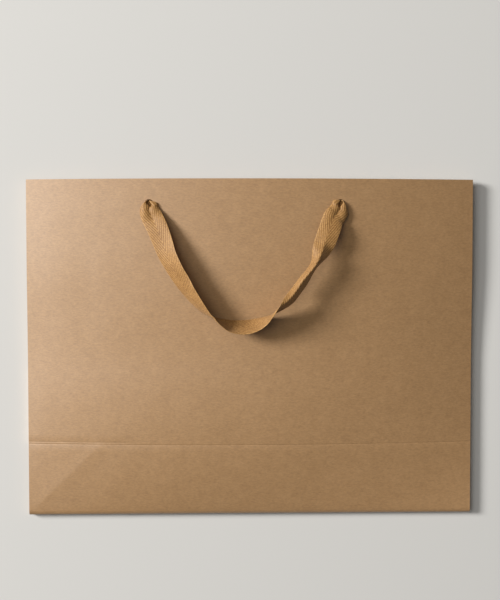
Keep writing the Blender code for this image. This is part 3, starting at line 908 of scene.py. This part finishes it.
def twill_tape():
    """Tan woven cotton: fine threads over the modelled ribs, painted shade in the grooves between them, and
    a soft cloth sheen.
    """
    made, nodes, links, shader = node_tree("twill_tape_finish")
    threads = noise_node(nodes, links, mapping_node(nodes, links, THREAD_STRETCH), *TAPE_THREADS)
    cloud = noise_node(nodes, links, mapping_node(nodes, links, EVEN_STRETCH), *TAPE_CLOUD)
    base = colour_ramp(nodes, links, cloud.outputs["Fac"], TAPE_COLOURS)
    thread_tint = colour_ramp(nodes, links, threads.outputs["Fac"], THREAD_TINTS)
    colour = multiply_colours(nodes, links, base, thread_tint)
    # Painted shade: the colour is darkened by each point's groove depth, where the hollows of the weave
    # would fall in shade
    groove_shade_weight = nodes.new("ShaderNodeAttribute")
    groove_shade_weight.attribute_name = "groove_shade_weight"
    groove_shade_tint = colour_ramp(nodes, links, groove_shade_weight.outputs["Fac"], PAINTED_GROOVE_SHADE)
    links.new(multiply_colours(nodes, links, colour, groove_shade_tint), shader.inputs["Base Color"])
    shader.inputs["Roughness"].default_value = TAPE_ROUGHNESS
    shader.inputs["IOR"].default_value = TAPE_IOR
    shader.inputs["Sheen Weight"].default_value = TAPE_SHEEN
    add_bumps(nodes, links, shader, threads.outputs["Fac"], TAPE_BUMP)
    return made


def grey_card():
    """Plain unbleached card with a little fibre."""
    made, nodes, links, shader = node_tree("card_finish")
    speckle = noise_node(nodes, links, mapping_node(nodes, links, SPECKLE_STRETCH), *CARD_SPECKLE)
    colour = colour_ramp(nodes, links, speckle.outputs["Fac"], CARD_COLOURS)
    links.new(colour, shader.inputs["Base Color"])
    shader.inputs["Roughness"].default_value = CARD_ROUGHNESS
    return made


def floor_finish():
    made, *_, shader = node_tree("floor_finish")
    shader.inputs["Base Color"].default_value = FLOOR_COLOUR
    shader.inputs["Roughness"].default_value = FLOOR_ROUGHNESS
    shader.inputs["Specular IOR Level"].default_value = FLOOR_GLOSS
    return made


def make_floor():
    mesh = bpy.data.meshes.new("floor")
    corners = [(x * FLOOR_REACH, y * FLOOR_REACH, 0) for x, y in ((-1, -1), (1, -1), (1, 1), (-1, 1))]
    mesh.from_pydata(corners, [], [(0, 1, 2, 3)])
    mesh.materials.append(floor_finish())
    floor = bpy.data.objects.new("floor", mesh)
    bpy.context.collection.objects.link(floor)


def make_camera():
    data = bpy.data.cameras.new("camera")
    data.lens = CAMERA_LENS
    data.sensor_width = CAMERA_SENSOR
    camera = bpy.data.objects.new("camera", data)
    camera.location = CAMERA_PLACE
    camera.rotation_euler = Euler([math.radians(value) for value in CAMERA_TILT])
    bpy.context.collection.objects.link(camera)
    bpy.context.scene.camera = camera


def make_lamp(name, towards, distance, size, energy, colour):
    """A round soft lamp that faces the middle of the bag."""
    data = bpy.data.lights.new(name, "AREA")
    data.shape = "DISK"
    data.size = size
    data.energy = energy
    data.color = colour
    lamp = bpy.data.objects.new(name, data)
    lamp.location = Vector(towards).normalized() * distance
    lamp.rotation_euler = Vector(towards).to_track_quat("Z", "Y").to_euler()
    bpy.context.collection.objects.link(lamp)
    return lamp


def make_lights():
    """A soft key from the upper left, low over the panel, a broad high fill, and an even world."""
    make_lamp("key", *KEY_LAMP)
    make_lamp("fill", *FILL_LAMP).visible_glossy = False
    bpy.context.scene.world = make_world()


def make_world():
    """A faint warm light from all round, which the camera sees as a pale backdrop."""
    world = bpy.data.worlds.new("studio")
    world.use_nodes = True
    nodes, links = world.node_tree.nodes, world.node_tree.links
    light = nodes["Background"]
    light.inputs["Color"].default_value = WORLD_COLOUR
    light.inputs["Strength"].default_value = WORLD_STRENGTH
    backdrop = nodes.new("ShaderNodeBackground")
    backdrop.inputs["Color"].default_value = BACKDROP_COLOUR
    seen = nodes.new("ShaderNodeLightPath")
    mixed = nodes.new("ShaderNodeMixShader")
    links.new(seen.outputs["Is Camera Ray"], mixed.inputs[0])
    links.new(light.outputs["Background"], mixed.inputs[1])
    links.new(backdrop.outputs["Background"], mixed.inputs[2])
    links.new(mixed.outputs["Shader"], nodes["World Output"].inputs["Surface"])
    return world


def main():
    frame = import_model()
    bpy.context.scene.view_settings.view_transform = "Standard"
    make_camera()
    make_lights()
    make_floor()

    paper = kraft_paper()
    tape = twill_tape()
    card = grey_card()
    for node in ("front_top_board", "rear_top_board", "base_board"):
        frame["nodes"][node].material_slots[0].material = card

    plan = body_plan()
    plan.verts.index_update()
    body = make_object("paper_bag", stack_body(plan), paper)
    plan.free()
    punch_holes(body)
    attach(body, "root")
    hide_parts("bag_body")

    handles = (
        ("front_handle", FRONT_STATIONS, "front", "front_hem", seat_on_panel, 1),
        ("rear_handle", REAR_STATIONS, "back", "back_hem", seat_under_panel, -1),
    )
    for name, *settings in handles:
        strap, knots, length = handle(name, *settings, tape)
        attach(strap, "root")
        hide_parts(name)
        for piece in knots:
            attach(piece, "root")


main()
